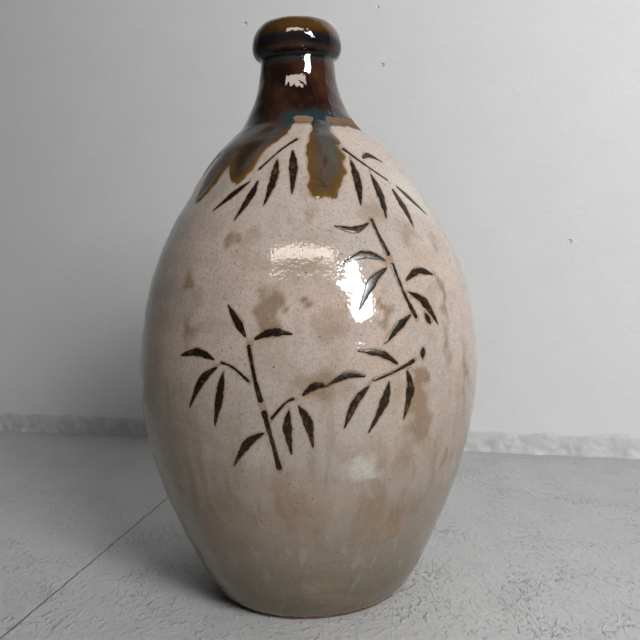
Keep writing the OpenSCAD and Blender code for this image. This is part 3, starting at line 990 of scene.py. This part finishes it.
pale.finish_surface(
    {
        "Base Color": colour,
        "Roughness": 0.03 + 0.02 * mottle.rise(0.4, 0.8) + 0.08 * stain.rise(0.2, 1.0),
        "Normal": pale.bump(orange_peel - 2.0 * pores, 0.062),
    },
    [pale_coat],
)

# %% [markdown]
# ## Finish: dark iron glaze
#
# Iron glaze changes colour with its thickness: amber where it is thin, oxblood and near black where it is
# thick, and clouded blue-grey where it pooled at its lower edge and ran. The mesh carries the distance to
# the edge and how deep a point lies in a stream, and the height tells the neck from the shoulder. Painted
# shade makes the left side blacker than the right, and the recess under the collar near black.

# %% Dark glaze
dark = Finish("dark_iron_glaze")
edge = dark.carried("edge")
height = dark.along("Z")
# Painted shade and light: the glaze blacker on the left, away from the light, and more oxblood and mauve on
# the right
lit_right_shaded_left = dark.along("X").rise(-22, -4)
flow = dark.noise(3.2, 4, stretch=(1, 1, 5), distortion=0.6)
veins = dark.noise(6, 4, stretch=(1, 1, 3), distortion=1.2)
smoke = dark.noise(16, 3)
fine = dark.noise(1.0, 2)

black = (0.014, 0.0055, 0.004)
oxblood = (0.052, 0.021, 0.012)
amber = (0.16, 0.075, 0.016)
teal = (0.020, 0.042, 0.047)
slate = (0.085, 0.092, 0.088)
mauve = (0.105, 0.070, 0.050)
colour = dark.mix(smoke.rise(0.35, 0.7) * (0.4 + 0.6 * lit_right_shaded_left), black, oxblood)
colour = dark.mix(flow.rise(0.45, 0.8) * 0.5, colour, (0.060, 0.024, 0.010))
colour = dark.mix((veins * smoke).rise(0.33, 0.47) * 0.3, colour, amber)
on_shoulder = 1 - height.rise(222, 256)
colour = dark.mix(on_shoulder * (0.55 + 0.6 * flow) * (0.35 + 0.65 * lit_right_shaded_left), colour, mauve)
soot = on_shoulder * veins.rise(0.45, 0.7) * smoke.rise(0.45, 0.6)
colour = dark.mix(soot * 0.6, colour, (0.022, 0.014, 0.011))
wobble = edge + 1.6 * (flow - 0.5)
pooled = (1 - wobble.rise(0.5, 5.0)) * height.rise(238, 245) * (1 - height.rise(251, 258))
under_collar = height.rise(275, 280) * (1 - height.rise(280.5, 283)) * veins.rise(0.2, 0.5)
stream = dark.carried("stream")
down_run = (stream + 5 * (flow - 0.5)).rise(-3.0, 2.6) * edge.rise(0.8, 3) * (1 - height.rise(249, 255))
below = 1 - height.rise(241, 247)
thin = (1 - (wobble + 2.0 * (veins - 0.5)).rise(1.0, 5.5)) * below
shaded = 0.45 + 0.55 * (1 - height.rise(226, 238))
rust = dark.mix(fine, (0.095, 0.048, 0.011), (0.150, 0.082, 0.020))
colour = dark.mix(thin * 0.85 * shaded, colour, rust)
thinnest = (1 - wobble.rise(0.0, 1.9)) * below
honey = dark.mix(fine, (0.125, 0.066, 0.016), (0.205, 0.118, 0.032))
colour = dark.mix(thinnest * 0.6 * shaded, colour, honey)
colour = dark.mix(pooled.most(under_collar * 0.6), colour, teal)
colour = dark.mix(down_run * 0.7, colour, dark.mix(height.rise(228, 246), slate, teal))
blue_band = height.rise(284, 287) * (1 - height.rise(289, 292))
colour = dark.mix(blue_band * 0.75, colour, (0.007, 0.010, 0.015))
# Painted shade: the recess under the collar, near black
under_collar_painted_shade = height.rise(279, 280) * (1 - height.rise(281.5, 284.5))
colour = dark.mix(under_collar_painted_shade * 0.75, colour, (0.004, 0.004, 0.004))
crest = height.rise(289, 295) * (0.35 + 0.7 * veins)
colour = dark.mix(crest * 0.75, colour, (0.120, 0.060, 0.011))
collar_belly = height.rise(280, 283) * (1 - height.rise(288, 291))
dark.finish_surface(
    {
        "Base Color": colour,
        "Specular IOR Level": 0.2,
        "Coat Weight": 0.6 - 0.5 * collar_belly,
        "Coat Roughness": 0.04,
        "Roughness": 0.035 + 0.04 * flow.rise(0.4, 0.8),
        "Normal": dark.bump(dark.noise(2.5, 1) + 1.5 * dark.noise(7, 1), 0.018),
    },
    [dark_coat],
)

# %% [markdown]
# ## Finish: brushed iron slip
#
# Slip is dark where it lies thick and amber where the brush dragged it thin, so the colour follows the
# distance across the stroke and a pattern of dry patches along it.

# %% Brushed slip
slip = Finish("brushed_iron_slip")
across = slip.carried("across")
dry = slip.noise(3.5, 3)
grain = slip.noise(0.8, 2)
colour = slip.mix(grain, (0.008, 0.005, 0.004), (0.024, 0.014, 0.009))
colour = slip.mix(dry.rise(0.52, 0.7) * (1 - across.rise(0.3, 0.8)) * 0.75, colour, (0.13, 0.065, 0.022))
colour = slip.mix(across.rise(0.72, 1.0) * 0.6, colour, (0.12, 0.07, 0.022))
slip.finish_surface(
    {
        "Base Color": colour,
        "Specular IOR Level": 0.25,
        "Roughness": 0.2 + 0.15 * grain,
        "Normal": slip.bump(grain, 0.06),
    },
    sprays,
)

# %% [markdown]
# ## The room: floor, wall and camera
#
# The bottle stands on a painted floor near a plastered wall that runs a little askew, with a lumpy fillet
# of paint and filler in the corner. The wall and floor matter for the glaze too, because it mirrors them.

# %% The floor, the wall and the fillet between them
WALL_Y = 0.2985
WALL_TURN = math.radians(-17.2)
along_wall = np.array([math.cos(WALL_TURN), math.sin(WALL_TURN), 0.0])
off_wall = np.array([math.sin(WALL_TURN), -math.cos(WALL_TURN), 0.0])
wall_foot = np.array([0.0, WALL_Y, 0.0])


def stage_piece(name, points, faces):
    """A piece of the room, from points in metres."""
    mesh = bpy.data.meshes.new(name)
    mesh.from_pydata(np.asarray(points).reshape(-1, 3).tolist(), [], np.asarray(faces).tolist())
    mesh.shade_smooth()
    piece = bpy.data.objects.new(name, mesh)
    bpy.context.scene.collection.objects.link(piece)
    return piece


left_end, right_end = wall_foot - 3 * along_wall, wall_foot + 3 * along_wall
up = np.array([0.0, 0.0, 3.0])
front = 3.5 * off_wall
wall_sheet = stage_piece(
    "plastered_wall", [left_end, right_end, right_end + up, left_end + up], [[0, 1, 2, 3]],
)
floor_sheet = stage_piece(
    "painted_floor", [left_end + front, right_end + front, right_end, left_end], [[0, 1, 2, 3]],
)

# The fillet's section as [distance from the wall, height], in millimetres
FILLET = [[3.8, -1], [3.4, 1.5], [2.7, 4], [2.2, 8], [1.8, 12], [1.4, 16], [0.9, 18.5], [-1, 20]]
reach_out, rise_up = MM * evenly(np.array(FILLET, float), 1.6).T
run = np.linspace(-0.9, 0.7, 1000)
fillet = (
    wall_foot + run[None, :, None] * along_wall
    + reach_out[:, None, None] * off_wall + rise_up[:, None, None] * np.array([0, 0, 1])
)
lumps = 0.5 * waves(fillet / MM, 34, 71)
crumbs = 0.3 * waves(fillet / MM, 12, 72) + 0.16 * waves(fillet / MM, 5, 73)
lumps = lumps + crumbs * np.clip((11 - rise_up / MM) / 6, 0.12, 1)[:, None]
fillet = fillet + MM * lumps[..., None] * (off_wall + np.array([0, 0, 0.7]))
fillet_faces = grid_faces(len(reach_out), len(run), False, False)[:, ::-1]
fillet_strip = stage_piece("corner_fillet", fillet, fillet_faces)

# %% [markdown]
# ## Finish: the room
#
# Thick grey paint over an uneven ground: brush marks, trowel scratches and grit are mostly bump, with a few
# dark chips, and one joint between two boards crosses the floor on the left. The fillet has the wall's
# paint, painted darker as shade in the corner. Further in front the floor is painted dark as a shadow, so
# the foot and the collar mirror no bright floor there.

# %% Wall and floor paint
plaster = Finish("wall_paint")
coarse = plaster.noise(38, 4)
rolled = plaster.noise(4.5, 4)
nicks = plaster.specks(60, 0.035)
shade = plaster.mix(coarse.rise(0.3, 0.7), (0.775, 0.775, 0.775), (0.79, 0.79, 0.79))
uneven = coarse + 0.30 * rolled - 2.0 * nicks
plaster.finish_surface(
    {"Base Color": shade, "Roughness": 0.65, "Normal": plaster.bump(uneven, 0.6)},
    [wall_sheet],
)

# The fillet's paint is the wall's, painted darker as shade in the corner
fillet_shaded = Finish("fillet_paint_with_painted_shade")
shade = fillet_shaded.mix(fillet_shaded.noise(9, 4).rise(0.3, 0.7), (0.54, 0.54, 0.54), (0.64, 0.64, 0.64))
fillet_shaded.finish_surface(
    {"Base Color": shade, "Roughness": 0.6, "Normal": fillet_shaded.bump(fillet_shaded.noise(6, 4), 0.8)}, [fillet_strip],
)

paint = Finish("floor_paint")
brushed = paint.noise(9, 4, stretch=(2, 1, 1), distortion=0.8)
scratches = paint.noise(3.2, 5, stretch=(1, 1.6, 1), distortion=0.2)
trowel = paint.noise(26, 2, stretch=(1, 2, 1), distortion=1.6) - 0.5
worn = 0.3 + 0.7 * paint.noise(40, 4).rise(0.44, 0.66)
dents = paint.noise(30, 3)
chips = paint.specks(10, 0.08)
grit = paint.noise(2.6, 5)
JOINT_START = (-0.1499, -0.0548, 0.0)
JOINT_WAY = (0.2024, 0.9793, 0.0)
from_start = paint.node("ShaderNodeVectorMath", {"operation": "SUBTRACT"}, {0: paint.place, 1: JOINT_START})
square_off = paint.node(
    "ShaderNodeVectorMath", {"operation": "DOT_PRODUCT"},
    {0: from_start, 1: (JOINT_WAY[1], -JOINT_WAY[0], 0.0)}, output="Value",
)
wander = square_off * 1000 + 2.4 * (paint.noise(9, 4) - 0.5)
aside = wander.most(wander * -1)
joint = (1 - aside.rise(0.25, 0.8)) * (0.5 + grit)
shade = paint.mix(dents.rise(0.3, 0.7), (0.52, 0.52, 0.52), (0.56, 0.56, 0.56))
shade = paint.mix(brushed.rise(0.6, 0.8) * 0.3, shade, (0.66, 0.66, 0.66))
shade = paint.mix(grit.rise(0.52, 0.7) * 0.25, shade, (0.38, 0.38, 0.38))
shade = paint.mix((chips * 0.7).most(joint * 0.75), shade, (0.10, 0.10, 0.10))
# Painted shadow: the floor turns dark further in front, so nothing bright lies there to be mirrored
painted_front_shadow = (paint.along("Y") * -1).rise(260, 400)
shade = paint.mix(painted_front_shadow * 0.9, shade, (0.05, 0.05, 0.05))
lines = 1 - trowel.most(trowel * -1).rise(0.0, 0.022)
ridges = 0.35 * brushed + 0.75 * scratches.rise(0.52, 0.66) * worn + 0.3 * lines * worn
ridges = ridges + 0.8 * dents + 0.45 * grit
paint.finish_surface(
    {"Base Color": shade, "Roughness": 0.5, "Normal": paint.bump(ridges - 0.6 * joint, 1.0)},
    [floor_sheet],
)

# %% [markdown]
# ## Light
#
# Daylight comes from windows on the right, in front. Six area lights stand in for it. Three give the even
# light and the shadow and are not mirrored; the other three are the panes that the gloss mirrors. With one
# set for both, the mirrored panes could not be small and bright while the shadow stays soft.

# %% The lights


def soft_light(name, aim, azimuth, elevation, distance, size, level, colour, shown, roll=0.0):
    """An area light seen from the aim at an azimuth from the front, to the right, and an elevation.

    The level is the brightness that it gives a white sheet at the aim that faces it: its power in watts
    divided by pi squared and by the distance squared."""
    a, e = math.radians(azimuth), math.radians(elevation)
    way = Vector((math.sin(a) * math.cos(e), -math.cos(a) * math.cos(e), math.sin(e)))
    data = bpy.data.lights.new(name, "AREA")
    data.shape = "RECTANGLE"
    data.size, data.size_y = size
    data.energy = level * math.pi**2 * distance**2
    data.color = colour
    lamp = bpy.data.objects.new(name, data)
    bpy.context.scene.collection.objects.link(lamp)
    turn = way.to_track_quat("Z", "Y").to_matrix().to_4x4() @ Matrix.Rotation(math.radians(roll), 4, "Z")
    lamp.matrix_world = Matrix.Translation(Vector(aim) + way * distance) @ turn
    lamp.visible_diffuse = "diffuse" in shown
    lamp.visible_glossy = "glossy" in shown
    return lamp


belly = (0.0, -0.08, 0.175)
white, warm_white, sky_white = (1.0, 1.0, 1.0), (1.0, 0.88, 0.78), (0.85, 0.92, 1.0)
diffuse, mirrored = ("diffuse",), ("glossy",)
soft_light("window_key", belly, 30, 30, 0.9, (0.3, 0.3), 0.93, white, shown=diffuse)
soft_light("low_fill", belly, 42, 15, 0.9, (0.3, 0.3), 0.08, white, shown=diffuse)
soft_light("wall_top", (0.16, 0.27, 0.47), 0, 55, 0.6, (0.9, 0.2), 0.27, white, shown=diffuse)
soft_light("window_warm", belly, -4.5, 46.5, 0.9, (0.66, 0.17), 0.50, warm_white, shown=mirrored)
soft_light("window_white", belly, 33, 30, 0.9, (0.21, 0.19), 1.8, white, roll=20, shown=mirrored)
soft_light("window_sky", belly, 37, 20, 0.9, (0.21, 0.20), 0.65, sky_white, roll=20, shown=mirrored)

world = bpy.data.worlds.new("studio_air")
world.use_nodes = True
world.node_tree.nodes["Background"].inputs["Color"].default_value = (0.03, 0.03, 0.03, 1)
bpy.context.scene.world = world

# %% [markdown]
# ## Camera
#
# A phone-like lens at three fifths of the bottle's height, close enough that the belly looks fuller than
# the foot. It looks down a little and is turned slightly, as a hand would hold it. How far back and how high
# it is are given as parts of the height of the neck's top, and its turns in degrees.

# %% The camera
CAMERA_BACK = 1.40
CAMERA_HEIGHT = 0.622
PAN = -1.2
LOOK_DOWN = 4.57
ROLL = -1.6
camera_data = bpy.data.cameras.new("camera")
camera_data.sensor_width = 36
camera_data.lens = 40.8
camera = bpy.data.objects.new("camera", camera_data)
bpy.context.scene.collection.objects.link(camera)
turn = (
    Matrix.Rotation(math.radians(PAN), 4, "Z")
    @ Matrix.Rotation(math.radians(90 - LOOK_DOWN), 4, "X")
    @ Matrix.Rotation(math.radians(ROLL), 4, "Z")
)
stand = Vector((0, -CAMERA_BACK * neck_top * MM, CAMERA_HEIGHT * neck_top * MM))
camera.matrix_world = Matrix.Translation(stand) @ turn
bpy.context.scene.camera = camera
bpy.context.scene.view_settings.view_transform = "Standard"
